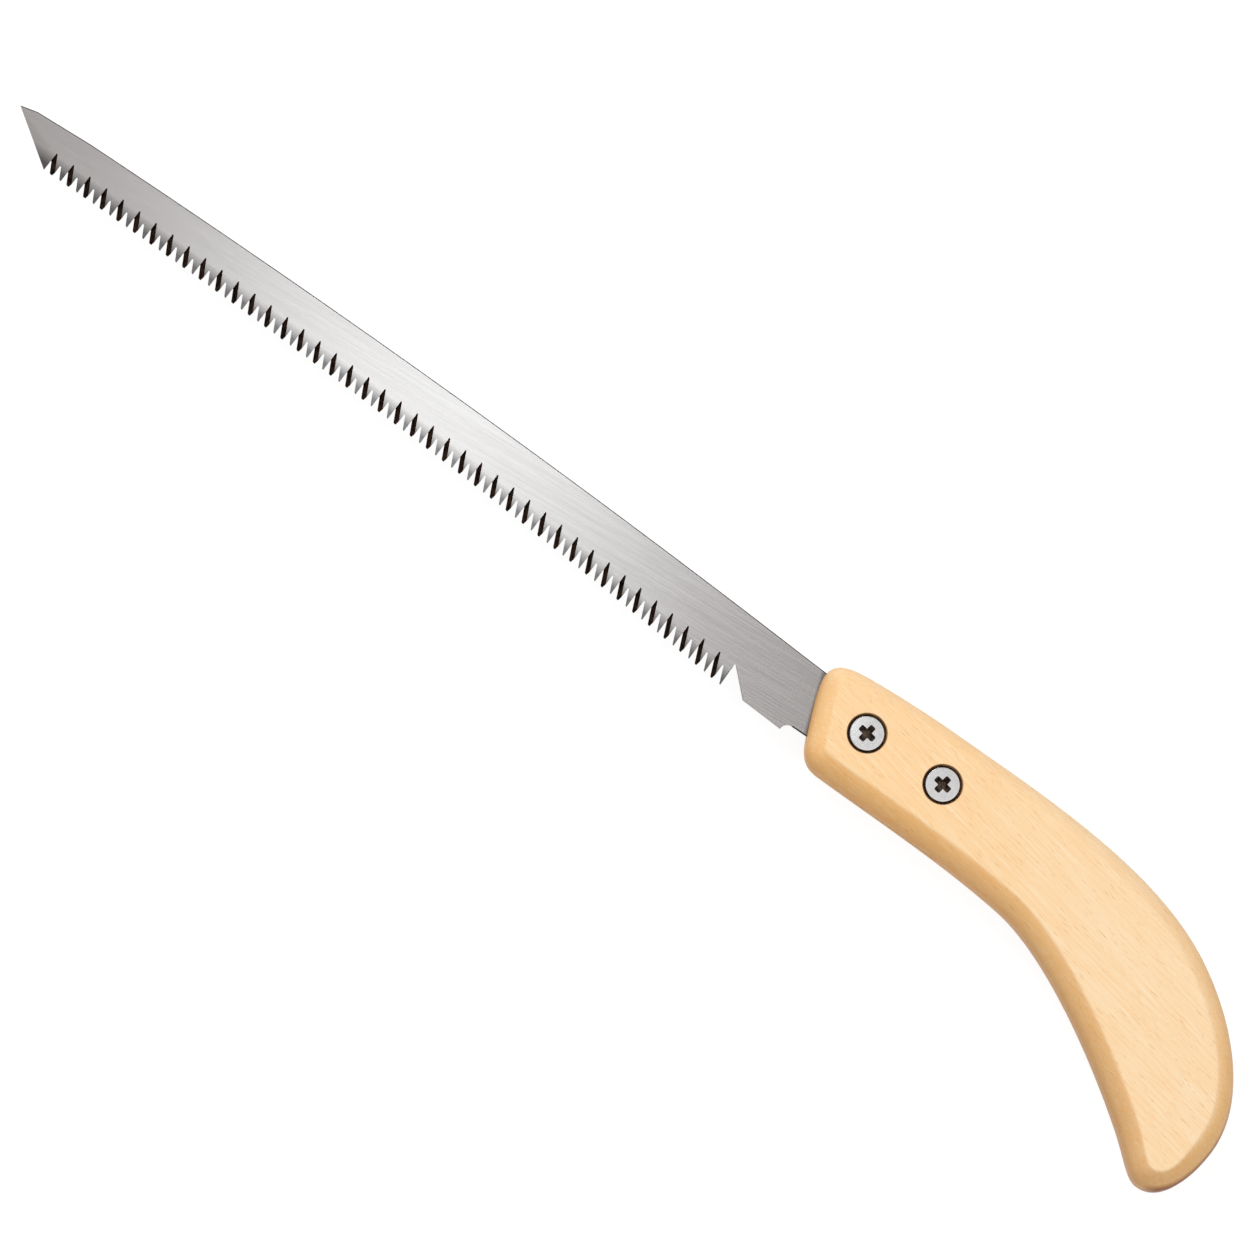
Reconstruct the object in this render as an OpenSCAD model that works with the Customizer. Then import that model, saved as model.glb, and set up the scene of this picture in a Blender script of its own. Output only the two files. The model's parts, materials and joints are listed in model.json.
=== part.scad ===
// Pruning saw: a curved pull-cut blade, held by two screws in the saw kerf of a one-piece wooden handle.
// The saw lies on its back. X runs from the nose of the blade to the handle, the teeth point to -Y,
// Z is up, and the origin is on the back face of the handle, midway between the two screws.
// All sizes are in millimetres and all angles in degrees.

/* [Blade] */
// Thickness of the steel
blade_t = 1.0; // [0.8:0.1:1.2]
// Distance between neighbouring tooth points
tooth_pitch = 2.775; // [2.7:0.005:2.8]
// Number of tooth points with the corner of the nose, odd so that both end teeth are ground alike
tooth_count = 85; // [83:2:85]
// Angle of the gullets from square, seen along the blade's depth
tooth_bevel = 20; // [15:1:25]
// How much higher a gullet lies on one side of the steel than on the other
gullet_fall = 2.4; // [1.8:0.1:2.8]
// Overhang of a tooth point towards the handle, negative where it leans back
tooth_lean = -0.2; // [-0.4:0.1:0]
// Radius of the convex spine
spine_r = 3200; // [3000:50:3600]
// Radius of the concave line of tooth points
tooth_line_r = 2355; // [2300:5:2450]
// Radius of the line of gullets, flatter than the tooth points, so the teeth deepen towards the heel
gullet_line_r = 2630; // [2560:10:2720]

/* [Handle] */
// Thickness of the handle between its flat faces
handle_t = 21; // [20:0.5:24]
// Foremost point of the handle, where the blade enters
handle_front_x = -30.7; // [-32:0.1:-30]
// Highest point of the back of the handle
handle_top_y = 15.2; // [14.5:0.1:16.5]
// Rearmost point of the tail
tail_x = 130; // [126:1:134]
// Lowest point of the tail
tail_y = -60.3; // [-62:0.1:-59]
// Radius of the round-over along every edge
round_r = 10; // [8:0.5:10]
// Turn of the round-over, which leaves a crease where it meets the flat faces
round_span = 60; // [50:1:60]

/* [Fasteners] */
// Distance between the two screws
screw_spacing = 25; // [24:0.5:28]
// Thread diameter
thread_d = 5; // [4.8:0.1:5]
// Diameter of the screw heads
head_d = 9.5; // [9:0.1:9.5]
// Height of the screw heads
head_h = 3.5; // [3.2:0.1:3.6]
// Length of the screws under the head
screw_l = 16; // [15.5:0.1:16.5]
// Diameter of the washers
washer_d = 10; // [9.6:0.1:10.2]
// Thickness of the washers
washer_t = 1; // [0.8:0.1:1.1]
// Width of the nuts across their flats
nut_flats = 8; // [7.8:0.1:8]
// Height of the nuts
nut_h = 4; // [3.6:0.1:4]
// Diameter of the recesses for the screw heads
recess_d = 11; // [10.8:0.1:12]
// Depth of the recesses for the screw heads
recess_depth = 4.6; // [4.4:0.1:4.8]
// Depth of the six-sided pockets for the nuts
pocket_depth = 5.2; // [5:0.1:5.4]
// Turn of the cross slots from the line of the screws
cross_turn = -11; // [-45:1:45]

/* [Hidden] */
$fn = 64;

beech = [0.95, 0.80, 0.58];
steel = [0.74, 0.74, 0.75];
plated = [0.84, 0.84, 0.83];
blackened = [0.10, 0.09, 0.08];

front_screw_x = -screw_spacing / 2;
rear_screw_x = screw_spacing / 2;
mid_z = handle_t / 2;
seat_z = handle_t - recess_depth;
head_z = seat_z + washer_t;

// Clear holes for the threads, and the room between the pieces that fit together
clear_d = thread_d + 0.5;
washer_bore_d = thread_d + 0.3;
nut_bore_d = thread_d + 0.1;
pocket_gap = 0.1;
kerf_gap = 0.05;
kerf_end_x = rear_screw_x + 10.5;
kerf_low_y = -28;
beyond = 5;

// Height of an arc that bulges to +Y, from its highest point and its radius
function arc_y(x, top, r) = top[1] - r + sqrt(r * r - pow(x - top[0], 2));

// Blade outline: the nose, the spine, the tang in the handle and the heel
nose = [-301.8, 14.4];
nose_back = [-296.8, 15.6];
spine_top = [-246, 16.55];
spine_start_x = -280;
spine_end_x = handle_front_x;
spine_step = 9;
tang_r = 7;
tang_low_x = -8;
arc_step = 15;
neck = [-30.4, -8.4];
neck_fillet_r = 2.4;
heel_front = [-45.7, -10.05];

// Tooth points and gullets lie on two arcs that run apart towards the heel
last_tooth_x = -53.3;
tooth_line_top = [-303, 3.3];
gullet_line_top = [-303, 7.75];
gullet_w = 0.35;
point_w = 0.05;
bevel_shift = blade_t / 2 * tan(tooth_bevel);
notch_w = 0.25;
notch_rise = 0.1;
end_steel = 0.1;
reach = 1.6;
wedge_l = 24;

function tip_x(i) = last_tooth_x - (tooth_count - 1 - i) * tooth_pitch;
function tip_y(x) = arc_y(x, tooth_line_top, tooth_line_r);
function gullet_x(i) = tip_x(i) - tooth_lean;
function gullet_y(x) = arc_y(x, gullet_line_top, gullet_line_r);

notch_y = gullet_y(gullet_x(tooth_count - 1)) + gullet_fall / 2 + notch_rise;
last_flank_x = last_tooth_x + bevel_shift + end_steel;

blade_outline = concat(
    [nose, nose_back],
    [for (x = [spine_start_x : spine_step : spine_end_x]) [x, arc_y(x, spine_top, spine_r)]],
    [for (a = [90 : -arc_step : -90]) [rear_screw_x + tang_r * cos(a), tang_r * sin(a)]],
    [[tang_low_x, neck[1]]],
    [for (a = [90 : arc_step : 180])
        [neck[0] + neck_fillet_r * cos(a), neck[1] - neck_fillet_r + neck_fillet_r * sin(a)]],
    [heel_front, [last_flank_x + notch_w, notch_y], [last_flank_x, notch_y]],
    [[last_flank_x, tip_y(last_tooth_x)]],
    [for (i = [tooth_count - 1 : -1 : 0]) [tip_x(i), tip_y(tip_x(i))]]
);

// Handle outline, clockwise from the front edge. Each anchor holds x, y, the heading there, the reach
// of the curve before and after it, and the width of the round-over there, as a share of its usual width.
wide = 1.15;
handle_anchors = [
    [handle_front_x, 8, 91, 3.5, 3.5, 1],
    [-21.2, handle_top_y - 0.9, 5.5, 7.5, 4.5, 1],
    [6.3, handle_top_y, -1, 10, 30, 1],
    [94.7, 3.7, -25.5, 27, 16.5, wide],
    [tail_x, -41.5, -93.5, 20.3, 8, wide],
    [118, tail_y, 176, 8.5, 3.5, 1],
    [104, -50, 142.5, 9, 25, 1],
    [45.3, -18.9, 172, 15.5, 20, 1],
    [-16.8, -15.7, 178, 20.5, 5, 1],
    [-25.6, -8.2, 111.5, 5, 5, 1]
];
anchor_count = len(handle_anchors);
curve_steps = 10;
round_steps = 6;
round_w = round_r * (1 - cos(round_span));
round_drop = round_r * sin(round_span);

function heading(a) = [cos(a), sin(a)];
function place(a) = [a[0], a[1]];

// Right turn from one anchor to the next, and the reach of an arc of that turn for each unit of its radius
function right_turn(a, b) = (a[2] - b[2] + 540) % 360 - 180;
function arc_reach(turn) = 4 / 3 * tan(turn / 4);

// Outline of the flat faces: the anchors move into the wood by the width of the round-over, and their
// reaches shorten on outward bends and lengthen on inward ones
face_anchors = [
    for (i = [0 : anchor_count - 1])
        let (
            before = handle_anchors[(i + anchor_count - 1) % anchor_count],
            a = handle_anchors[i],
            after = handle_anchors[(i + 1) % anchor_count],
            inset = a[5] * round_w,
            p = place(a) + inset * heading(a[2] - 90)
        )
        [
            p[0],
            p[1],
            a[2],
            a[3] - inset * arc_reach(right_turn(before, a)),
            a[4] - inset * arc_reach(right_turn(a, after))
        ]
];

// The four control points of the curve from one anchor to the next, and a point of that curve
function controls(a, b) = [place(a), place(a) + a[4] * heading(a[2]), place(b) - b[3] * heading(b[2]), place(b)];
function curve_point(p, t) =
    pow(1 - t, 3) * p[0] + 3 * t * pow(1 - t, 2) * p[1] + 3 * t * t * (1 - t) * p[2] + pow(t, 3) * p[3];

// Points of the closed curve through all anchors
function outline(anchors) = [
    for (i = [0 : anchor_count - 1])
        let (p = controls(anchors[i], anchors[(i + 1) % anchor_count]))
            for (k = [0 : curve_steps - 1]) curve_point(p, k / curve_steps)
];
handle_outline = outline(handle_anchors);
face_outline = outline(face_anchors);
outline_count = len(handle_outline);

// Height of each ring of the handle, from the back face round the edge to the front face, and how far it
// has come from the outer outline to the outline of the flat faces
handle_rings = concat(
    [for (k = [round_steps : -1 : 0])
        let (a = round_span * k / round_steps)
        [round_drop - round_r * sin(a), round_r * (1 - cos(a)) / round_w]],
    [for (k = [0 : round_steps])
        let (a = round_span * k / round_steps)
        [handle_t - round_drop + round_r * sin(a), round_r * (1 - cos(a)) / round_w]]
);
ring_count = len(handle_rings);

// The handle without its kerf and holes, as rings of the outline joined by triangles
module handle_blank() {
    points = [
        for (ring = handle_rings)
            for (i = [0 : outline_count - 1])
                let (p = (1 - ring[1]) * handle_outline[i] + ring[1] * face_outline[i])
                [p[0], p[1], ring[0]]
    ];
    sides = [
        for (k = [0 : ring_count - 2])
            for (i = [0 : outline_count - 1])
                let (
                    j = (i + 1) % outline_count,
                    low = k * outline_count,
                    high = low + outline_count
                )
                each [[low + i, low + j, high + j], [low + i, high + j, high + i]]
    ];
    // The flat faces are strips between the back of the handle and its belly, from the front to the butt
    half = outline_count / 2;
    flat = concat(
        [[0, 1, outline_count - 1]],
        [for (k = [1 : half - 2])
            each [
                [k, k + 1, outline_count - k - 1],
                [k, outline_count - k - 1, outline_count - k]
            ]],
        [[half - 1, half, half + 1]]
    );
    top_ring = (ring_count - 1) * outline_count;
    back_face = [for (f = flat) [f[2], f[1], f[0]]];
    front_face = [for (f = flat) [top_ring + f[0], top_ring + f[1], top_ring + f[2]]];
    polyhedron(points, concat(back_face, sides, front_face));
}

// A six-sided prism, from its width across the flats
module six_sided(flats, h) {
    cylinder(d = flats / cos(30), h = h, $fn = 6);
}

// Room for one screw in the handle: the head recess, the clear hole and the nut pocket
module screw_room(x) {
    translate([x, 0, seat_z]) cylinder(d = recess_d, h = recess_depth + beyond);
    translate([x, 0, -beyond]) cylinder(d = clear_d, h = handle_t + 2 * beyond);
    translate([x, 0, -beyond]) six_sided(nut_flats + 2 * pocket_gap, pocket_depth + beyond);
}

// Saw kerf that takes the tang, open to the front, the top and the bottom of the handle
module kerf() {
    kerf_w = blade_t + 2 * kerf_gap;
    translate([handle_front_x - beyond, kerf_low_y, mid_z - kerf_w / 2])
        cube([kerf_end_x - handle_front_x + beyond, handle_top_y + beyond - kerf_low_y, kerf_w]);
}

module handle() {
    color(beech) difference() {
        handle_blank();
        kerf();
        screw_room(front_screw_x);
        screw_room(rear_screw_x);
    }
}

// A corner of a gullet in the middle of the steel, seen along the slope of its wedge
function along_wedge(p, slope) =
    [p[0] * cos(tooth_bevel), cos(slope) * (p[1] - p[0] * sin(tooth_bevel) * tan(slope))];

// Wedge that grinds one gullet. It slopes across the steel, to one side and the other by turns, so that the
// long flank of every second tooth faces up.
module gullet(i) {
    x = gullet_x(i);
    y = gullet_y(x);
    depth = y - tip_y(tip_x(i));
    side = i % 2 == 0 ? 1 : -1;
    slope = side * atan(gullet_fall / blade_t * cos(tooth_bevel));
    far_x = gullet_w + reach * (tooth_pitch + tooth_lean - point_w - gullet_w);
    corners = [[0, 0], [gullet_w, 0], [far_x, -reach * depth], [reach * tooth_lean, -reach * depth]];
    translate([x, y, mid_z])
        rotate([-slope, tooth_bevel, 0])
            linear_extrude(height = wedge_l, center = true)
                polygon([for (p = corners) along_wedge(p, slope)]);
}

module saw_blade() {
    color(steel) difference() {
        translate([0, 0, mid_z - blade_t / 2]) linear_extrude(height = blade_t) polygon(blade_outline);
        for (i = [0 : tooth_count - 1]) gullet(i);
        for (x = [front_screw_x, rear_screw_x])
            translate([x, 0, mid_z]) cylinder(d = clear_d, h = 2 * beyond, center = true);
    }
}

// Pan head screw with a cross recess. The crown is a cap of a large ball.
module pan_screw(x) {
    rim_h = 2.6;
    crown_h = head_h - rim_h;
    crown_r = (pow(head_d / 2, 2) + crown_h * crown_h) / (2 * crown_h);
    cross_d = 4.9;
    cross_w = 1.6;
    cross_depth = 2.3;
    end_chamfer = 0.5;
    translate([x, 0, head_z]) {
        difference() {
            intersection() {
                cylinder(d = head_d, h = head_h);
                translate([0, 0, head_h - crown_r]) sphere(r = crown_r);
            }
            for (turn = [0, 90])
                rotate(cross_turn + turn)
                    translate([-cross_d / 2, -cross_w / 2, head_h - cross_depth])
                        cube([cross_d, cross_w, head_h]);
        }
        translate([0, 0, end_chamfer - screw_l]) cylinder(d = thread_d, h = screw_l - end_chamfer);
        translate([0, 0, -screw_l]) cylinder(d1 = thread_d - 2 * end_chamfer, d2 = thread_d, h = end_chamfer);
    }
}

module plain_washer(x) {
    translate([x, 0, seat_z]) difference() {
        cylinder(d = washer_d, h = washer_t);
        translate([0, 0, -beyond]) cylinder(d = washer_bore_d, h = washer_t + 2 * beyond);
    }
}

module hex_nut(x) {
    translate([x, 0, pocket_depth - nut_h]) difference() {
        six_sided(nut_flats, nut_h);
        translate([0, 0, -beyond]) cylinder(d = nut_bore_d, h = nut_h + 2 * beyond);
    }
}

module front_screw() {
    color(plated) pan_screw(front_screw_x);
}

module rear_screw() {
    color(plated) pan_screw(rear_screw_x);
}

module front_washer() {
    color(blackened) plain_washer(front_screw_x);
}

module rear_washer() {
    color(blackened) plain_washer(rear_screw_x);
}

module front_nut() {
    color(plated) hex_nut(front_screw_x);
}

module rear_nut() {
    color(plated) hex_nut(rear_screw_x);
}

handle();
saw_blade();
front_screw();
rear_screw();
front_washer();
rear_washer();
front_nut();
rear_nut();
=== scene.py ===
# %% [markdown]
# # A pruning saw
# The saw is already solid: a wooden handle, a toothed blade, and two screws with their washers and
# nuts. Here each of these pieces gets the soft edges and the finish of the real one. The solids are
# loaded first, as a frame in metres that nothing here moves, so a new piece goes where its solid is and
# needs no fitting.

# %% Load the solids
import json
import math

import bmesh
import bpy
from mathutils import Matrix, Vector
from mathutils.geometry import interpolate_bezier

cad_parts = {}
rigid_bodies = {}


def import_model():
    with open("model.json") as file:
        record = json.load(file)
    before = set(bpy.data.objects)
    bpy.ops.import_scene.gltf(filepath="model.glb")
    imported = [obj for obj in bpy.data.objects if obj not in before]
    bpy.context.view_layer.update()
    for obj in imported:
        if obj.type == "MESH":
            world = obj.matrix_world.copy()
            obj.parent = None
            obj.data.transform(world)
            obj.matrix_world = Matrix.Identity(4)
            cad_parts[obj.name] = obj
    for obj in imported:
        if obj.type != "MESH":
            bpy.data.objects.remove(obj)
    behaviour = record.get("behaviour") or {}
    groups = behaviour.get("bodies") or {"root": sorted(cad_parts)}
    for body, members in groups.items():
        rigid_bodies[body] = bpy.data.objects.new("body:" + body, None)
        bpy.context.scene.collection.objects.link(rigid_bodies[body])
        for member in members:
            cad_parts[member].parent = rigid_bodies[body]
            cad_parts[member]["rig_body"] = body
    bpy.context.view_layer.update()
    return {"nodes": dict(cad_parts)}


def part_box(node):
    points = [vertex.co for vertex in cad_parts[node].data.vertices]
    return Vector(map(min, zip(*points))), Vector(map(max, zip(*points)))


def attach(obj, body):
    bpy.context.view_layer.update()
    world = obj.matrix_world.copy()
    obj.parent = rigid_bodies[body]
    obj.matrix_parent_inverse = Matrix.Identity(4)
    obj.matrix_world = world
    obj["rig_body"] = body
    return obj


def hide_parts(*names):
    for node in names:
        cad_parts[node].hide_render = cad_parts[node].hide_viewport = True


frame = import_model()
scene = bpy.context.scene
scene.view_settings.view_transform = "Standard"
MM = 0.001
print("solids:", ", ".join(sorted(frame["nodes"])))

# %% [markdown]
# ## Camera
# The saw lies on its back and the camera looks down on it, leaning a little towards the teeth, so the
# belly of the handle shows wider than its back. A long lens from far away keeps the perspective weak.
# The camera is rolled about its own axis, which lays the saw across the picture from corner to corner.
# Turning the camera, and not the saw, keeps every piece in the frame of its solid.

# %% Camera
view_distance = 3.0
view_lean = math.radians(10)
view_roll = math.radians(34.11)
view_centre = Vector((-83.25, -11.15, 10.5)) * MM
sensor_width = 36
lens_length = 313.7

camera_data = bpy.data.cameras.new("camera")
camera_data.sensor_width = sensor_width
camera_data.lens = lens_length
camera = bpy.data.objects.new("camera", camera_data)
camera_turn = Matrix.Rotation(view_lean, 4, "X") @ Matrix.Rotation(view_roll, 4, "Z")
step_back = Matrix.Translation((0, 0, view_distance))
camera.matrix_world = Matrix.Translation(view_centre) @ camera_turn @ step_back
scene.collection.objects.link(camera)
scene.camera = camera
print("camera at", tuple(round(c, 3) for c in camera.matrix_world.translation))

# %% [markdown]
# ## Helpers for finishes
# A material is a small tree of nodes. One helper adds a node, sets its options and fills its inputs,
# either with plain values or with the outputs of other nodes. The others place a pattern along a grain,
# read one stretch of a pattern as an amount, join amounts, and blend two colours by an amount.

# %% Helpers for finishes
ALONG, ACROSS, UP = (1, 0, 0), (0, 1, 0), (0, 0, 1)


def fill_inputs(tree, node, inputs):
    """Fills inputs of a node with plain values or with the outputs of other nodes."""
    for name, value in inputs.items():
        if isinstance(value, bpy.types.NodeSocket):
            tree.links.new(value, node.inputs[name])
        else:
            node.inputs[name].default_value = value


def add(tree, kind, inputs=None, **options):
    """A new node, with its options set and its inputs filled."""
    made = tree.nodes.new(kind)
    for name, value in options.items():
        setattr(made, name, value)
    fill_inputs(tree, made, inputs or {})
    return made


def new_finish(name):
    """A new material, its node tree and its shader."""
    made = bpy.data.materials.new(name)
    made.use_nodes = True
    return made, made.node_tree, made.node_tree.nodes["Principled BSDF"]


def own_place(tree):
    """The place of a point, in the piece's own space."""
    return add(tree, "ShaderNodeTexCoord").outputs["Object"]


def grain_noise(tree, turn, cell, detail=2.0):
    """Noise stretched along a grain, in cells of a length, width and thickness in millimetres."""
    grain = {"Vector": own_place(tree), "Rotation": (0, 0, turn), "Scale": [side * MM for side in cell]}
    place = add(tree, "ShaderNodeMapping", grain, vector_type="TEXTURE").outputs["Vector"]
    return add(tree, "ShaderNodeTexNoise", {"Vector": place, "Scale": 1.0, "Detail": detail}).outputs["Fac"]


def towards(tree, vector, way):
    """How far a place lies, or a normal points, in a given way."""
    pair = {0: vector, 1: way}
    return add(tree, "ShaderNodeVectorMath", pair, operation="DOT_PRODUCT").outputs["Value"]


def amount(tree, value, low, high, least=0.0, most=1.0):
    """How far a value has come from low to high, as an amount from least to most."""
    span = {"Value": value, "From Min": low, "From Max": high, "To Min": least, "To Max": most}
    return add(tree, "ShaderNodeMapRange", span).outputs["Result"]


def all_of(tree, first, *others):
    """The product of several amounts, which is high only where all of them are."""
    for other in others:
        first = add(tree, "ShaderNodeMath", {0: first, 1: other}, operation="MULTIPLY").outputs["Value"]
    return first


def any_of(tree, first, *others):
    """The largest of several amounts, which is high where any of them is."""
    for other in others:
        first = add(tree, "ShaderNodeMath", {0: first, 1: other}, operation="MAXIMUM").outputs["Value"]
    return first


def grey(level):
    """A neutral colour."""
    return (level, level, level, 1)


def blend(tree, share, first, second, kind="MIX"):
    """A colour between two colours, or one toned by another. Sockets 6, 7 and 2 are the node's colours."""
    inputs = {0: share, 6: first, 7: second}
    return add(tree, "ShaderNodeMix", inputs, data_type="RGBA", blend_type=kind).outputs[2]


def relief(tree, height, strength, depth):
    """The normal of a surface on which a pattern stands up by a small depth."""
    rise = {"Height": height, "Strength": strength, "Distance": depth}
    return add(tree, "ShaderNodeBump", rise).outputs["Normal"]


# %% [markdown]
# ## Beech
# The handle is pale, straight-grained beech under a thin satin lacquer. It is paler towards the tail,
# and shows faint bands, fine lines along the grain, some darker and some lighter than the wood, and
# sparse short dark flecks. Stretched noise in the handle's own space gives all of these, and because it
# is solid noise the lines run on over the rounded edges.

# %% Beech grain
grain_turn = math.radians(-12)
front_wood, tail_wood = (0.975, 0.67, 0.365, 1), (0.98, 0.72, 0.445, 1)
band_wood = (0.965, 0.65, 0.345, 1)
dark_line, light_line = (0.92, 0.54, 0.24, 1), (0.985, 0.82, 0.60, 1)
fleck_brown = (0.74, 0.40, 0.16, 1)

beech, tree, shader = new_finish("beech")
flecks = grain_noise(tree, grain_turn, (3.4, 0.36, 0.36))
lines = grain_noise(tree, grain_turn, (14, 0.55, 0.8))
bands = grain_noise(tree, grain_turn, (60, 7, 9), detail=3.0)
along = towards(tree, own_place(tree), ALONG)
wood = blend(tree, amount(tree, along, 10 * MM, 60 * MM), front_wood, tail_wood)
wood = blend(tree, amount(tree, bands, 0.35, 0.65, most=0.4), wood, band_wood)
wood = blend(tree, amount(tree, lines, 0.52, 0.75, most=0.35), wood, dark_line)
wood = blend(tree, amount(tree, lines, 0.48, 0.25, most=0.55), wood, light_line)
wood = blend(tree, amount(tree, flecks, 0.61, 0.78, most=0.75), wood, fleck_brown)
print("grain of", len(tree.nodes), "nodes")

# %% [markdown]
# The rounded edges are painted an orange, darker tone, which is painted shade: most of all on the
# belly, which faces away from the lamps and darkens further towards the tail, and on the rounded tail.
# The upright walls are painted darker too, and the tail's end darkest of all, a little for its end grain
# and mostly as painted shade. The normal of the surface, in the handle's own space, tells the flat
# faces, the belly, the tail and the wall.

# %% Beech edges
edge_shade_tone = (1, 0.84, 0.62, 1)
grip_shade_tone = (0.88, 0.86, 0.86, 1)
wall_shade_tone = (0.88, 0.78, 0.62, 1)
end_grain_and_shade_tone = (0.38, 0.23, 0.11, 1)
tail_way = (0.9, -0.44, 0)

normal = add(tree, "ShaderNodeTexCoord").outputs["Normal"]
rise = towards(tree, normal, UP)
flat = add(tree, "ShaderNodeMath", {0: rise}, operation="ABSOLUTE").outputs["Value"]
rounded = amount(tree, flat, 0.98, 0.8)
belly = amount(tree, towards(tree, normal, ACROSS), 0.1, -0.6, least=0.1)
tail = amount(tree, towards(tree, normal, ALONG), 0.1, 0.6)
painted_edge_shade = all_of(tree, rounded, any_of(tree, belly, tail))
painted_grip_shade = all_of(tree, amount(tree, along, 40 * MM, 100 * MM), belly, rounded)
tail_wall = amount(tree, towards(tree, normal, tail_way), 0.5, 0.85)
end_grain_and_shade = all_of(tree, amount(tree, flat, 0.5, 0.25), tail_wall)
# Painted shade on the rounded edges, the belly, the walls and the tail's end, which is partly end grain.
wood = blend(tree, painted_edge_shade, wood, edge_shade_tone, "MULTIPLY")
wood = blend(tree, painted_grip_shade, wood, grip_shade_tone, "MULTIPLY")
wood = blend(tree, amount(tree, flat, 0.5, 0.1), wood, wall_shade_tone, "MULTIPLY")
wood = blend(tree, end_grain_and_shade, wood, end_grain_and_shade_tone, "MULTIPLY")
fill_inputs(tree, shader, {
    "Base Color": wood,
    "Roughness": amount(tree, lines, 0.3, 0.7, least=0.32, most=0.44),
    "Specular IOR Level": 0.08,
    "Normal": relief(tree, lines, 0.12, 0.05 * MM),
})
print(beech.name, "of", len(tree.nodes), "nodes")

# %% [markdown]
# A drill leaves the wood torn and dull. The recesses and pockets are painted dark brown, mostly as
# painted shade for the deep gaps round the screws.

# %% Drilled beech
torn_shade_dark, torn_shade_light = (0.3, 0.16, 0.07, 1), (0.5, 0.28, 0.13, 1)

drilled_and_shaded, tree, shader = new_finish("torn_beech_shade")
fibres = grain_noise(tree, grain_turn, (2, 0.3, 0.3))
fill_inputs(tree, shader, {
    "Base Color": blend(tree, amount(tree, fibres, 0.35, 0.65), torn_shade_dark, torn_shade_light),
    "Roughness": amount(tree, fibres, 0.3, 0.7, least=0.7, most=0.85),
    "Normal": relief(tree, fibres, 0.3, 0.05 * MM),
})
print(drilled_and_shaded.name, "of", len(tree.nodes), "nodes")

# %% [markdown]
# ## Saw steel
# The blade is ground lengthwise to a satin finish, so it mirrors the lamps as broad soft bands, crossed
# by fine scratches. A metal's colour is what it reflects, so the base colour stays a light warm grey
# and the scratches only change it and the roughness by a little. The teeth are hardened by a short
# heat, which tints them darker towards their points, and painted shade of the set teeth deepens that
# tint. The points lie on an arc, so the distance from its centre tells how near they are. A thin dark
# line of painted shade lies where the blade enters the handle.

# %% Saw steel
grind_turn = math.radians(3)
steel_dark, steel_light = (0.458, 0.43, 0.42, 1), (0.498, 0.468, 0.458, 1)
streak_tone = grey(0.87)
point_tint_and_shade = (0.12, 0.11, 0.108, 1)
entry_shade_tone = (0.5, 0.47, 0.45, 1)
points_r = 2355 * MM
points_centre = (-303 * MM, 3.3 * MM - points_r, 0)
teeth_end = -52 * MM
entry_way = (0.954, 0.3, 0)
entry = -27.2 * MM

saw_steel, tree, shader = new_finish("saw_steel")
scratches = grain_noise(tree, grind_turn, (18, 0.16, 0.16), detail=3.0)
streaks = grain_noise(tree, grind_turn, (14, 0.4, 0.4))
patches = grain_noise(tree, grind_turn, (60, 1.5, 1.5))
place = own_place(tree)
along = towards(tree, place, ALONG)
worn = amount(tree, along, -150 * MM, -60 * MM, least=0.3)
streaked = all_of(tree, amount(tree, streaks, 0.35, 0.65), worn)
flattened = add(tree, "ShaderNodeVectorMath", {0: place, 1: (1, 1, 0)}, operation="MULTIPLY")
ends = {0: flattened.outputs["Vector"], 1: points_centre}
away = add(tree, "ShaderNodeVectorMath", ends, operation="DISTANCE").outputs["Value"]
near_points = amount(tree, away, points_r + 5.2 * MM, points_r + 1.8 * MM, most=0.95)
toothed = amount(tree, along, teeth_end, teeth_end - MM)
painted_entry_shade = amount(tree, towards(tree, place, entry_way), entry - MM, entry)
steel = blend(tree, amount(tree, scratches, 0.25, 0.75), steel_dark, steel_light)
steel = blend(tree, streaked, steel, streak_tone, "MULTIPLY")
# Heat tint, deepened by painted shade, towards the tooth points.
steel = blend(tree, all_of(tree, near_points, toothed), steel, point_tint_and_shade)
# Painted shade in a thin dark line where the blade enters the handle.
steel = blend(tree, painted_entry_shade, steel, entry_shade_tone, "MULTIPLY")
fill_inputs(tree, shader, {
    "Base Color": steel,
    "Metallic": 1.0,
    "Roughness": amount(tree, patches, 0.3, 0.7, least=0.228, most=0.238),
    "Normal": relief(tree, scratches, 0.08, 0.02 * MM),
})
print(saw_steel.name, "of", len(tree.nodes), "nodes")

# %% [markdown]
# The gullets are ground last, and the flanks of the teeth get an almost black finish of their own.
# Hardening darkens them a little, and the rest of the black is painted shade. The same finish is
# painted shade on the spine and on the lower edge of the neck.

# %% Hardened flanks
flank_black, flank_brown = (0.004, 0.0025, 0.002, 1), (0.03, 0.015, 0.009, 1)

dark_flank_and_edge_shade, tree, shader = new_finish("painted_dark_flanks")
heat = grain_noise(tree, 0, (1.5, 1.5, 0.6))
# Painted shade: almost black on the flanks, the spine's bevel and the neck's lower edge.
fill_inputs(tree, shader, {
    "Base Color": blend(tree, amount(tree, heat, 0.35, 0.65), flank_black, flank_brown),
    "Metallic": 0.2,
    "Specular IOR Level": 0.02,
    "Roughness": amount(tree, heat, 0.3, 0.7, least=0.5, most=0.65),
})
print(dark_flank_and_edge_shade.name, "of", len(tree.nodes), "nodes")

# %% [markdown]
# ## Plated steel and painted shade
# The screws and nuts are nickel plated: bright, a little warm, and smooth, with faint clouds from the
# barrel they are plated in. The washers and the cross in each screw head get a near-black finish, which
# is painted shade for the deep gap round each head and for the recess of the cross.

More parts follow.
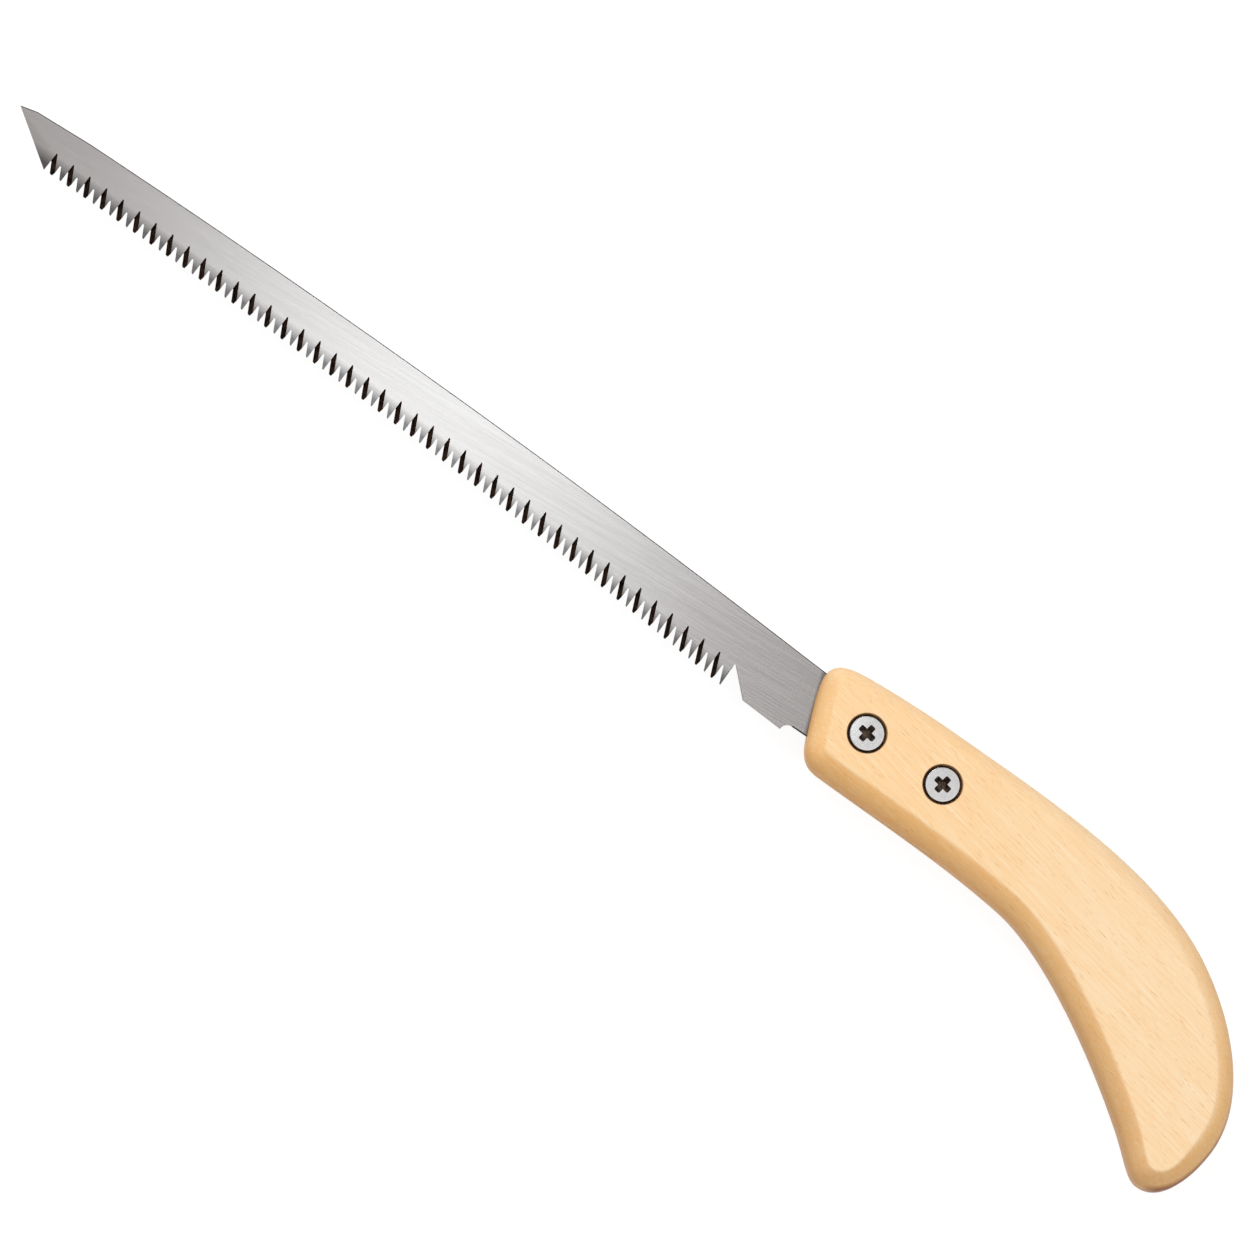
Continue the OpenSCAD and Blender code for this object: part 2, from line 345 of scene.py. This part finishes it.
# %% Plated steel and painted shade
nickel_dull, nickel_bright = (0.80, 0.785, 0.78, 1), (0.88, 0.865, 0.86, 1)
shade_black, shade_brown = (0.035, 0.025, 0.018, 1), (0.18, 0.12, 0.08, 1)

plated, tree, shader = new_finish("plated_steel")
clouds = grain_noise(tree, 0, (1.2, 1.2, 1.2))
fill_inputs(tree, shader, {
    "Base Color": blend(tree, amount(tree, clouds, 0.3, 0.7), nickel_dull, nickel_bright),
    "Metallic": 1.0,
    "Roughness": amount(tree, clouds, 0.3, 0.7, least=0.2, most=0.25),
})

near_black_shade_steel, tree, shader = new_finish("blackened_steel")
shade_mottle = grain_noise(tree, 0, (0.8, 0.8, 0.8))
# Painted shade: near black for the washers and the cross in each head.
fill_inputs(tree, shader, {
    "Base Color": blend(tree, amount(tree, shade_mottle, 0.35, 0.65), shade_black, shade_brown),
    "Metallic": 0.6,
    "Roughness": amount(tree, shade_mottle, 0.3, 0.7, least=0.4, most=0.55),
})
print(plated.name, "and", near_black_shade_steel.name, "of", len(tree.nodes), "nodes each")

# %% [markdown]
# ## Helpers for shapes
# The pieces are cut the way a workshop cuts them, so the helpers are a lathe, a saw and a file. The
# lathe spins a profile of radius and height round the Z axis, the saw gives straight walls to an
# outline, and the file breaks edges with a small round bevel.

# %% Helpers for shapes
weld = 0.001 * MM
fine_steps = 96


def turned(profile, steps=64):
    """A closed solid turned on a lathe, from the radius and height of its corners, the ends on the axis."""
    bm = bmesh.new()
    corners = [bm.verts.new((r, 0, z)) for r, z in profile]
    lines = [bm.edges.new(pair) for pair in zip(corners, corners[1:])]
    full = {"cent": (0, 0, 0), "axis": UP, "angle": math.tau, "steps": steps, "use_merge": True}
    bmesh.ops.spin(bm, geom=corners + lines, **full)
    bmesh.ops.remove_doubles(bm, verts=bm.verts, dist=weld)
    bmesh.ops.recalc_face_normals(bm, faces=bm.faces)
    return bm


def rod(r, low, high, steps=64):
    """A plain round bar on the Z axis, between two heights."""
    return turned([(0, low), (r, low), (r, high), (0, high)], steps)


def prism(points, low, high):
    """A closed solid with straight walls, from its outline and the heights of its two ends."""
    bm = bmesh.new()
    base = bm.faces.new([bm.verts.new((x, y, low)) for x, y in points])
    lifted = bmesh.ops.extrude_face_region(bm, geom=[base])["geom"]
    rising = [part for part in lifted if isinstance(part, bmesh.types.BMVert)]
    bmesh.ops.translate(bm, verts=rising, vec=(0, 0, high - low))
    bmesh.ops.recalc_face_normals(bm, faces=bm.faces)
    return bm


def break_edges(bm, edges, width, segments, clamp=False):
    """Breaks edges with a small round bevel, clamped where bevels would run into each other."""
    kept = {"affect": "EDGES", "profile": 0.5, "material": -1, "clamp_overlap": clamp}
    bmesh.ops.bevel(bm, geom=edges, offset=width, segments=segments, **kept)


# %% [markdown]
# ## Helpers for pieces
# A cut is a boolean whose result becomes the piece's own mesh. Some faces of a piece get a second
# finish, picked out by where they are and where they face. The last helper shades a piece, gives it its
# finishes, hangs it on the body of its solid and hides that solid.

# %% Helpers for pieces
sharp_angle = math.radians(28)


def new_object(name, bm, place=(0, 0, 0)):
    """An object at the origin that holds a finished bmesh, moved to its place."""
    bmesh.ops.translate(bm, verts=bm.verts, vec=place)
    mesh = bpy.data.meshes.new(name)
    bm.to_mesh(mesh)
    bm.free()
    made = bpy.data.objects.new(name, mesh)
    scene.collection.objects.link(made)
    return made


def measured(mesh):
    """Faces, open edges and volume of a mesh, in words."""
    bm = bmesh.new()
    bm.from_mesh(mesh)
    open_edges = sum(not edge.is_manifold for edge in bm.edges)
    volume = bm.calc_volume(signed=True) / MM**3
    bm.free()
    return f"{len(mesh.polygons)} faces, {open_edges} open edges, {volume:.0f} mm3"


def cut(piece, tool, operation="DIFFERENCE"):
    """Works a piece with a tool, keeps the result as the piece's own mesh and removes the tool."""
    boolean = piece.modifiers.new("cut", "BOOLEAN")
    boolean.operation = operation
    boolean.solver = "MANIFOLD"
    boolean.object = tool
    ready = piece.evaluated_get(bpy.context.evaluated_depsgraph_get())
    result = bpy.data.meshes.new_from_object(ready)
    result.materials.clear()
    piece.modifiers.clear()
    piece.data = result
    print(" ", piece.name, "after the", tool.name, measured(result))
    bpy.data.objects.remove(tool)


def second_finish(piece, chosen):
    """Gives a piece's second finish to the faces that a test of their middle and normal picks out."""
    picked = [face for face in piece.data.polygons if chosen(face.center, face.normal)]
    for face in picked:
        face.material_index = 1
    print(" ", len(picked), "faces of", piece.name, "with a second finish")


def set_at(piece, x):
    """Moves the mesh of a piece that was made on the Z axis to its screw."""
    piece.data.transform(Matrix.Translation((x, 0, 0)))


def finish_piece(piece, node, slot, *finishes):
    """Gives a piece its shading and finishes, hangs it on the body of its solid and hides that solid."""
    mesh = piece.data
    mesh.shade_smooth()
    mesh.set_sharp_from_angle(angle=sharp_angle)
    piece.modifiers.new("even shading", "WEIGHTED_NORMAL").keep_sharp = True
    for finish in finishes:
        mesh.materials.append(finish)
    body = frame["nodes"][node]["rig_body"]
    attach(piece, body)
    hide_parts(node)
    print(piece.name, "rides on", body, measured(mesh))


# %% [markdown]
# ## Handle outline
# The handle is sawn from a flat board, so its shape is an outline: ten anchors joined by smooth curves,
# clockwise from the front edge. Each anchor holds its place, the heading of the curve there, how far
# the curve reaches along that heading before and after it, and how wide the round-over is there, as a
# share of its usual width. The flat faces have an outline of their own, with every anchor moved into
# the wood by the round-over.

# %% Handle outline
handle_low, handle_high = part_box("handle")
face_z = handle_high.z
round_r = 10 * MM
round_span = math.radians(60)
round_w = round_r * (1 - math.cos(round_span))
wide = 1.15
handle_anchors = [
    (-30.7, 8, 91, 3.5, 3.5, 1),
    (-21.2, 14.3, 5.5, 7.5, 4.5, 1),
    (6.3, 15.2, -1, 10, 30, 1),
    (94.7, 3.7, -25.5, 27, 16.5, wide),
    (130, -41.5, -93.5, 20.3, 8, wide),
    (118, -60.3, 176, 8.5, 3.5, 1),
    (104, -50, 142.5, 9, 25, 1),
    (45.3, -18.9, 172, 15.5, 20, 1),
    (-16.8, -15.7, 178, 20.5, 5, 1),
    (-25.6, -8.2, 111.5, 5, 5, 1),
]
headings = [anchor[2] for anchor in handle_anchors]
curve_steps = 24


def heading(degrees):
    """A step of length 1 in a direction, counted in degrees from the X axis."""
    return Vector((math.cos(math.radians(degrees)), math.sin(math.radians(degrees))))


def arc_reach(before, after):
    """Reach of an arc between two headings, for each unit of its radius, positive for a right turn."""
    right_turn = (before - after + 180) % 360 - 180
    return 4 / 3 * math.tan(math.radians(right_turn) / 4)


def outline(inset):
    """Points of the handle's outline, moved into the wood by an inset, as a share of the round-over."""
    knots = []
    for i, (x, y, turn, reach_in, reach_out, share) in enumerate(handle_anchors):
        turn_before = headings[i - 1]
        turn_after = headings[(i + 1) % len(headings)]
        depth = inset * share * round_w
        place = Vector((x, y)) * MM + depth * heading(turn - 90)
        arriving = place - (reach_in * MM - depth * arc_reach(turn_before, turn)) * heading(turn)
        leaving = place + (reach_out * MM - depth * arc_reach(turn, turn_after)) * heading(turn)
        knots.append((arriving, place, leaving))
    points = []
    for (_, start, leaving), (arriving, end, _) in zip(knots, knots[1:] + knots[:1]):
        points += interpolate_bezier(start, leaving, arriving, end, curve_steps + 1)[:-1]
    return points


edge_outline = outline(0)
face_outline = outline(1)
print("outline of", len(edge_outline), "points")

# %% [markdown]
# ## Handle blank
# The round-over goes from the flat face over a curved band to a narrow straight wall. The blank grows
# in rings: it starts as the flat back face, and that face is extruded again and again, each time to the
# next height and inset. A number kept on every corner says which outline point it came from, and
# extruding copies that number. The fine curve may swing out a hair farther than the solid, so it is
# held inside the solid's box. The crease where the band meets the flat face is worn a little soft,
# which a small bevel does.

# %% Handle blank
round_steps = 12
crease_w = 0.4 * MM
drop = round_r * math.sin(round_span)
quarter = []
for step in range(round_steps + 1):
    angle = round_span * step / round_steps
    quarter.append((drop - round_r * math.sin(angle), round_r * (1 - math.cos(angle)) / round_w))
rings = quarter[::-1] + [(face_z - z, inset) for z, inset in quarter]

bm = bmesh.new()
outline_number = bm.verts.layers.int.new("outline_number")
for i, point in enumerate(face_outline):
    bm.verts.new((point.x, point.y, 0))[outline_number] = i
back = bm.faces.new(bm.verts)
cap = back
for z, inset in rings[1:]:
    grown = bmesh.ops.extrude_face_region(bm, geom=[cap])["geom"]
    if cap is not back:
        bm.faces.remove(cap)
    cap = next(part for part in grown if isinstance(part, bmesh.types.BMFace))
    for corner in cap.verts:
        i = corner[outline_number]
        point = edge_outline[i].lerp(face_outline[i], inset)
        corner.co = (min(point.x, handle_high.x), max(point.y, handle_low.y), z)
bmesh.ops.recalc_face_normals(bm, faces=bm.faces)
crease = [edge for face in bm.faces if len(face.verts) > 4 for edge in face.edges]
break_edges(bm, crease, crease_w, segments=3, clamp=True)
handle = new_object("beech_handle", bm)
print("blank of", len(rings), "rings")

# %% [markdown]
# ## Kerf, recesses and pockets
# A joiner would saw the blank open from the front for the blade, drill it for the screws, and sink a
# round recess for each head and a six-sided pocket for each nut. The same cuts are made here, one after
# another. The mouths of the recesses are eased, because a sharp edge of wood would splinter.

# %% Kerf, recesses and pockets
screw_x = {}
for end in ("front", "rear"):
    low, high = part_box(end + "_screw")
    screw_x[end] = (low.x + high.x) / 2
blade_low, blade_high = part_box("saw_blade")
washer_low, washer_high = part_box("front_washer")
nut_low, nut_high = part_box("front_nut")
nut_corner = (nut_high.x - nut_low.x) / 2
flat_share = math.cos(math.radians(30))
recess_r = 5.5 * MM
clear_r = 2.75 * MM
pocket_gap = 0.1 * MM
kerf_gap = 0.05 * MM
kerf_end = screw_x["rear"] + 10.5 * MM
eased = 0.2 * MM
beyond = 5 * MM
skin = 0.01 * MM


def hexagon(corner_r):
    """Corners of a hexagon round the Z axis, the first on the X axis."""
    return [corner_r * heading(60 * k) for k in range(6)]


def in_screw_room(middle, _):
    """Whether a face of the handle lies in a recess or a pocket, by its middle alone."""
    near = min(math.hypot(middle.x - x, middle.y) for x in screw_x.values()) < recess_r + eased
    in_recess = washer_low.z - skin < middle.z < face_z - skin
    in_pocket = skin < middle.z < nut_high.z + skin
    return near and (in_recess or in_pocket)


for end, x in screw_x.items():
    recess = turned([
        (0, washer_low.z),
        (recess_r, washer_low.z),
        (recess_r, face_z - eased),
        (recess_r + eased, face_z),
        (recess_r + eased, face_z + beyond),
        (0, face_z + beyond),
    ], fine_steps)
    hole = rod(clear_r, -beyond, face_z + beyond)
    pocket = prism(hexagon(nut_corner + pocket_gap / flat_share), -beyond, nut_high.z)
    for name, tool in (("recess", recess), ("hole", hole), ("pocket", pocket)):
        cut(handle, new_object(end + " " + name, tool, (x, 0, 0)))
open_x = handle_low.x - beyond
open_y = handle_high.y + beyond
kerf_outline = [(open_x, handle_low.y), (kerf_end, handle_low.y), (kerf_end, open_y), (open_x, open_y)]
cut(handle, new_object("kerf", prism(kerf_outline, blade_low.z - kerf_gap, blade_high.z + kerf_gap)))
# Painted shade: the recesses and pockets get the dark brown finish.
second_finish(handle, in_screw_room)
finish_piece(handle, "handle", "beech", beech, drilled_and_shaded)

# %% [markdown]
# ## Blade
# The solid of the blade already has its curved outline and all of its ground teeth, so this piece is a
# copy of it. The copy's loose triangles are merged and the flat faces joined up again. The ground
# flanks of the teeth are the only faces that lie neither flat nor upright, so they are known by their
# normals and get the almost black finish. Then the long edges of the spine, the nose and the heel are
# rubbed down by a small bevel, as a grinder leaves them. The bevel on the spine, and the lower edge of
# the neck, get the almost black finish as painted shade.

# %% Blade
same_plane = math.radians(0.05)
upright_z, flat_z = 0.1, 0.99
sideways = 0.3
shortest = 0.3 * MM
rubbed_w = 0.28 * MM
handle_front = handle_low.x + 3 * MM
neck_start = -29 * MM


def slanted(face):
    """Whether a face lies neither flat nor upright."""
    return upright_z < abs(face.normal.z) < flat_z


bm = bmesh.new()
bm.from_mesh(frame["nodes"]["saw_blade"].data)
bmesh.ops.remove_doubles(bm, verts=bm.verts, dist=weld / 2)
bmesh.ops.dissolve_limit(bm, angle_limit=same_plane, verts=bm.verts, edges=bm.edges)
bm.normal_update()
flanks = [face for face in bm.faces if slanted(face)]
for face in flanks:
    face.material_index = 1
rubbed = []
for edge in bm.edges:
    tilts = sorted(abs(face.normal.z) for face in edge.link_faces)
    square = len(tilts) == 2 and tilts[0] < upright_z and tilts[1] > flat_z
    outside = min(corner.co.x for corner in edge.verts) < handle_front
    if square and outside and edge.calc_length() > shortest:
        rubbed.append(edge)
print(len(rubbed), "edges rubbed down")
break_edges(bm, rubbed, rubbed_w, segments=2)
bm.normal_update()
# Painted shade: the spine's bevel and the neck's lower edge get the almost black finish.
painted_shade_edges = []
for face in bm.faces:
    on_spine = face.normal.y > sideways and slanted(face)
    under_neck = face.normal.y < -sideways and max(corner.co.x for corner in face.verts) > neck_start
    if on_spine or under_neck:
        painted_shade_edges.append(face)
for face in painted_shade_edges:
    face.material_index = 1
print(len(flanks), "flanks and", len(painted_shade_edges), "faces of the edges are dark")
blade = new_object("ground_blade", bm)
finish_piece(blade, "saw_blade", "saw_steel", saw_steel, dark_flank_and_edge_shade)

# %% [markdown]
# ## Screws
# Each screw is a pan head with a cross recess on a threaded shank. The thread is one pitch of its
# zigzag edge, spun as many turns as the shank is long and raised by one pitch a turn, then sliced flat
# at both ends.

# %% Thread
pitch = 0.8 * MM
thread_r = 2.5 * MM
root_r = thread_r - 0.54 * pitch
thread_steps = 36
spare_turns = 2


def thread(low, high):
    """A helical thread between two heights, as a closed solid on the Z axis."""
    bm = bmesh.new()
    zigzag = [(root_r, 0), (root_r, 0.25), (thread_r, 0.56), (thread_r, 0.69), (root_r, 1)]
    start = low - spare_turns * pitch
    corners = [bm.verts.new((r, 0, start + share * pitch)) for r, share in zigzag]
    lines = [bm.edges.new(pair) for pair in zip(corners, corners[1:])]
    turns = math.ceil((high - low) / pitch) + 2 * spare_turns
    climb = {"dvec": (0, 0, pitch / thread_steps), "angle": math.tau * turns, "steps": thread_steps * turns}
    bmesh.ops.spin(bm, geom=corners + lines, cent=(0, 0, 0), axis=UP, **climb)
    bmesh.ops.remove_doubles(bm, verts=bm.verts, dist=2 * weld)
    for height, side in ((low, -1), (high, 1)):
        everything = bm.verts[:] + bm.edges[:] + bm.faces[:]
        plane = {"plane_co": (0, 0, height), "plane_no": (0, 0, side), "clear_outer": True}
        sliced = bmesh.ops.bisect_plane(bm, geom=everything, **plane)["geom_cut"]
        bmesh.ops.edgeloop_fill(bm, edges=[part for part in sliced if isinstance(part, bmesh.types.BMEdge)])
    bmesh.ops.recalc_face_normals(bm, faces=bm.faces)
    return bm


print(f"thread of {2 * thread_r / MM:.1f} mm with a root of {2 * root_r / MM:.2f} mm")

# %% [markdown]
# The cross is cut with two bars that taper towards its floor, and its walls and floor get the
# near-black finish as painted shade.

# %% Cross
screw_low, screw_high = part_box("front_screw")
head_r = (screw_high.x - screw_low.x) / 2
head_low = washer_high.z
cross_turn = math.radians(-11)
cross_length, cross_width, cross_depth = 5.7 * MM, 1.95 * MM, 2.3 * MM
cross_above = 0.5 * MM
cross_taper = (0.5, 0.6, 1)
cross_corner = 0.4 * MM
cross_reach = 3 * MM
crown_rise = 0.9


def cross_bar(turn):
    """One tapered bar of the cross, which stands out above the head so that it cuts through the crown."""
    bm = bmesh.new()
    bmesh.ops.create_cube(bm, size=1)
    bmesh.ops.scale(bm, verts=bm.verts, vec=(cross_length, cross_width, cross_depth + cross_above))
    lower = [corner for corner in bm.verts if corner.co.z < 0]
    bmesh.ops.scale(bm, verts=lower, vec=cross_taper)
    upright = [edge for edge in bm.edges if abs(edge.verts[0].co.z - edge.verts[1].co.z) > cross_depth / 2]
    break_edges(bm, upright, cross_corner, segments=3)
    bmesh.ops.rotate(bm, verts=bm.verts, cent=(0, 0, 0), matrix=Matrix.Rotation(turn, 3, "Z"))
    bmesh.ops.translate(bm, verts=bm.verts, vec=(0, 0, screw_high.z + cross_above / 2 - cross_depth / 2))
    return bm


def in_cross(middle, normal):
    """Whether a face of a screw on the Z axis is a wall or the floor of its cross."""
    inside = middle.xy.length < cross_reach and middle.z > head_low + MM
    return inside and (normal.z < crown_rise or middle.z < screw_high.z - MM)


print(f"cross {cross_length / MM:.1f} mm across in a head of {2 * head_r / MM:.1f} mm")

# %% [markdown]
# The head is turned on the lathe: a crown, which is part of a large sphere, over a straight rim with
# broken edges. The shank is joined to it, the cross is cut, and a turned cone gives the shank its
# chamfered point.

# %% Screws
rim_h = 3.35 * MM
rim_w = 0.12 * MM
shank_overlap = 0.3 * MM
point_r = thread_r - 0.5 * MM
cone_r = head_r + beyond
crown_steps = 12
crown_h = screw_high.z - head_low - rim_h
crown_r = (head_r**2 + crown_h**2) / (2 * crown_h)
crown = []
for step in range(crown_steps + 1):
    r = head_r * step / crown_steps
    crown.append((r, screw_high.z - crown_r + math.sqrt(crown_r**2 - r**2)))

for end, x in screw_x.items():
    bm = turned(crown + [(head_r, head_low), (0, head_low)])
    rims = []
    for edge in bm.edges:
        level = abs(edge.verts[0].co.z - edge.verts[1].co.z) < weld
        if level and abs(edge.verts[0].co.xy.length - head_r) < weld:
            rims.append(edge)
    break_edges(bm, rims, rim_w, segments=3)
    screw = new_object(end + "_pan_screw", bm)
    cut(screw, new_object("shank", thread(screw_low.z, head_low + shank_overlap)), "UNION")
    for turn in (cross_turn, cross_turn + math.radians(90)):
        cut(screw, new_object("bar", cross_bar(turn)))
    cut(screw, new_object("cone", turned([
        (0, screw_low.z),
        (point_r, screw_low.z),
        (cone_r, screw_low.z + cone_r - point_r),
        (cone_r, screw_high.z + beyond),
        (0, screw_high.z + beyond),
    ])), "INTERSECT")
    # Painted shade: the walls and floor of the cross get the near-black finish.
    second_finish(screw, in_cross)
    set_at(screw, x)
    finish_piece(screw, end + "_screw", "plated_steel", plated, near_black_shade_steel)

# %% [markdown]
# ## Washers and nuts
# A washer is a flat ring, turned, filed along its rims and bored.

# %% Washers
washer_r = (washer_high.x - washer_low.x) / 2
washer_bore_r = 2.65 * MM
washer_rim_w = 0.12 * MM
rim_angle = 1


def add_washer(end, x):
    """The washer of one screw."""
    bm = rod(washer_r, washer_low.z, washer_high.z, fine_steps)
    rims = [edge for edge in bm.edges if edge.is_manifold and edge.calc_face_angle() > rim_angle]
    break_edges(bm, rims, washer_rim_w, segments=2)
    washer = new_object(end + "_plain_washer", bm)
    cut(washer, new_object("bore", rod(washer_bore_r, washer_low.z - beyond, washer_high.z + beyond)))
    set_at(washer, x)
    # Painted shade: the washer is near black for the gap round the head.
    finish_piece(washer, end + "_washer", "blackened_steel", near_black_shade_steel)


print(f"washers of {2 * washer_r / MM:.1f} mm with a bore of {2 * washer_bore_r / MM:.1f} mm")

# %% [markdown]
# A nut is a six-sided bar, cut with a turned lens, which gives the curved chamfers on its corners, and
# bored with a countersink at each end. Each screw then gets its washer and its nut.

# %% Nuts
nut_bore_r = 2.55 * MM
sink = 0.35 * MM
sink_r = nut_bore_r + sink + beyond
lens_face_r = 0.97 * nut_corner * flat_share
lens_r = nut_corner + MM
chamfer_h = (lens_r - lens_face_r) * math.tan(math.radians(30))


def add_nut(end, x):
    """The nut of one screw."""
    nut = new_object(end + "_hex_nut", prism(hexagon(nut_corner), nut_low.z, nut_high.z))
    cut(nut, new_object("lens", turned([
        (0, nut_low.z),
        (lens_face_r, nut_low.z),
        (lens_r, nut_low.z + chamfer_h),
        (lens_r, nut_high.z - chamfer_h),
        (lens_face_r, nut_high.z),
        (0, nut_high.z),
    ], fine_steps)), "INTERSECT")
    cut(nut, new_object("bore", turned([
        (0, nut_low.z - beyond),
        (sink_r, nut_low.z - beyond),
        (nut_bore_r, nut_low.z + sink),
        (nut_bore_r, nut_high.z - sink),
        (sink_r, nut_high.z + beyond),
        (0, nut_high.z + beyond),
    ])))
    set_at(nut, x)
    finish_piece(nut, end + "_nut", "plated_steel", plated)


for end, x in screw_x.items():
    add_washer(end, x)
    add_nut(end, x)

# %% [markdown]
# ## Floor
# The saw lies on a plain white sheet. To the camera, and in the mirror of the metal, the sheet glows
# just enough to be white and still takes the soft shadow of the saw. For all other light it is light
# grey, so that it doesn't brighten the undersides.

# %% Floor
paper_grey, shadow_grey = grey(0.6), grey(0.24)
glow_strength = 0.87
floor_reach = 8
floor_gap = 0.05 * MM

sheet, tree, shader = new_finish("white_sheet")
tree.nodes.remove(shader)
rays = add(tree, "ShaderNodeLightPath").outputs
looked_at = any_of(tree, rays["Is Camera Ray"], rays["Is Glossy Ray"], rays["Is Transmission Ray"])
paper = add(tree, "ShaderNodeBsdfDiffuse", {"Color": paper_grey}).outputs["BSDF"]
shadow = add(tree, "ShaderNodeBsdfDiffuse", {"Color": shadow_grey}).outputs["BSDF"]
glow = add(tree, "ShaderNodeEmission", {"Color": grey(1), "Strength": glow_strength}).outputs["Emission"]
bright = add(tree, "ShaderNodeAddShader", {0: shadow, 1: glow}).outputs["Shader"]
surface = add(tree, "ShaderNodeMixShader", {0: looked_at, 1: paper, 2: bright}).outputs["Shader"]
fill_inputs(tree, tree.nodes["Material Output"], {"Surface": surface})
bm = bmesh.new()
bmesh.ops.create_grid(bm, x_segments=1, y_segments=1, size=floor_reach)
floor = new_object("floor", bm, (0, 0, -floor_gap))
floor.data.materials.append(sheet)
print("floor of", 2 * floor_reach, "m")

# %% [markdown]
# ## Room light
# A grey room, darker towards the horizon and brighter towards the tail of the saw, gives a soft light
# from above. To the camera the room is white, and metal mirrors paler walls than the ones that light
# the saw, so that it isn't dark from the side.

# %% Room light
wall_grey, mirrored_wall_grey, ceiling_grey = grey(0.12), grey(0.55), grey(0.7)
fill_way = (0.87, -0.5, 0)

room = bpy.data.worlds.new("room")
room.use_nodes = True
tree = room.node_tree
rays = add(tree, "ShaderNodeLightPath").outputs
way = add(tree, "ShaderNodeTexCoord").outputs["Generated"]
overhead = amount(tree, towards(tree, way, UP), 0.0, 0.7)
fill = amount(tree, towards(tree, way, fill_way), -0.6, 0.8, least=0.62, most=1.64)
walls = blend(tree, rays["Is Glossy Ray"], wall_grey, mirrored_wall_grey)
room_light = blend(tree, overhead, walls, ceiling_grey)
room_light = blend(tree, 1.0, room_light, fill, "MULTIPLY")
room_light = blend(tree, rays["Is Camera Ray"], room_light, grey(1))
fill_inputs(tree, tree.nodes["Background"], {"Color": room_light})
scene.world = room
print(room.name, "of", len(tree.nodes), "nodes")

# %% [markdown]
# ## Lamps
# One large soft lamp stands above the top left of the picture, so the back of the handle is bright and
# its belly dark. A small soft lamp hangs over the blade, where the satin steel mirrors it as a bright
# band that fades towards the nose and the heel. A grid holds its light to the blade, so that the screw
# heads don't mirror it.

# %% Lamps
key_rise = math.radians(40)
key_level = math.cos(key_rise)
key_way = Vector((-0.82 * key_level, 0.57 * key_level, math.sin(key_rise)))
key_distance = 6
key_side = 2.8
key_watts = 224
blade_lamp_place, blade_lamp_aim = (-0.19, 0.24, 1.3), (-0.16, 0.0, 0.01)
blade_lamp_width, blade_lamp_length = 0.16, 0.3
blade_lamp_watts = 0.0042
blade_lamp_colour = (0.92, 1, 1.03)
blade_lamp_spread = math.radians(14)


def soft_lamp(name, place, aim, width, length, watts):
    """A rectangular soft lamp that points at a spot and isn't seen by the camera itself."""
    light = bpy.data.lights.new(name, "AREA")
    light.shape = "RECTANGLE"
    light.size = width
    light.size_y = length
    light.energy = watts
    lamp = bpy.data.objects.new(name, light)
    lamp.location = place
    lamp.rotation_mode = "QUATERNION"
    lamp.rotation_quaternion = (Vector(aim) - Vector(place)).to_track_quat("-Z", "Y")
    lamp.visible_camera = False
    scene.collection.objects.link(lamp)
    return light


key_place = view_centre + key_distance * key_way
soft_lamp("key_lamp", key_place, view_centre, key_side, key_side, key_watts)
blade_light = soft_lamp(
    "blade_lamp", blade_lamp_place, blade_lamp_aim, blade_lamp_width, blade_lamp_length, blade_lamp_watts
)
blade_light.color = blade_lamp_colour
blade_light.spread = blade_lamp_spread
print("lamps:", ", ".join(light.name for light in bpy.data.lights))
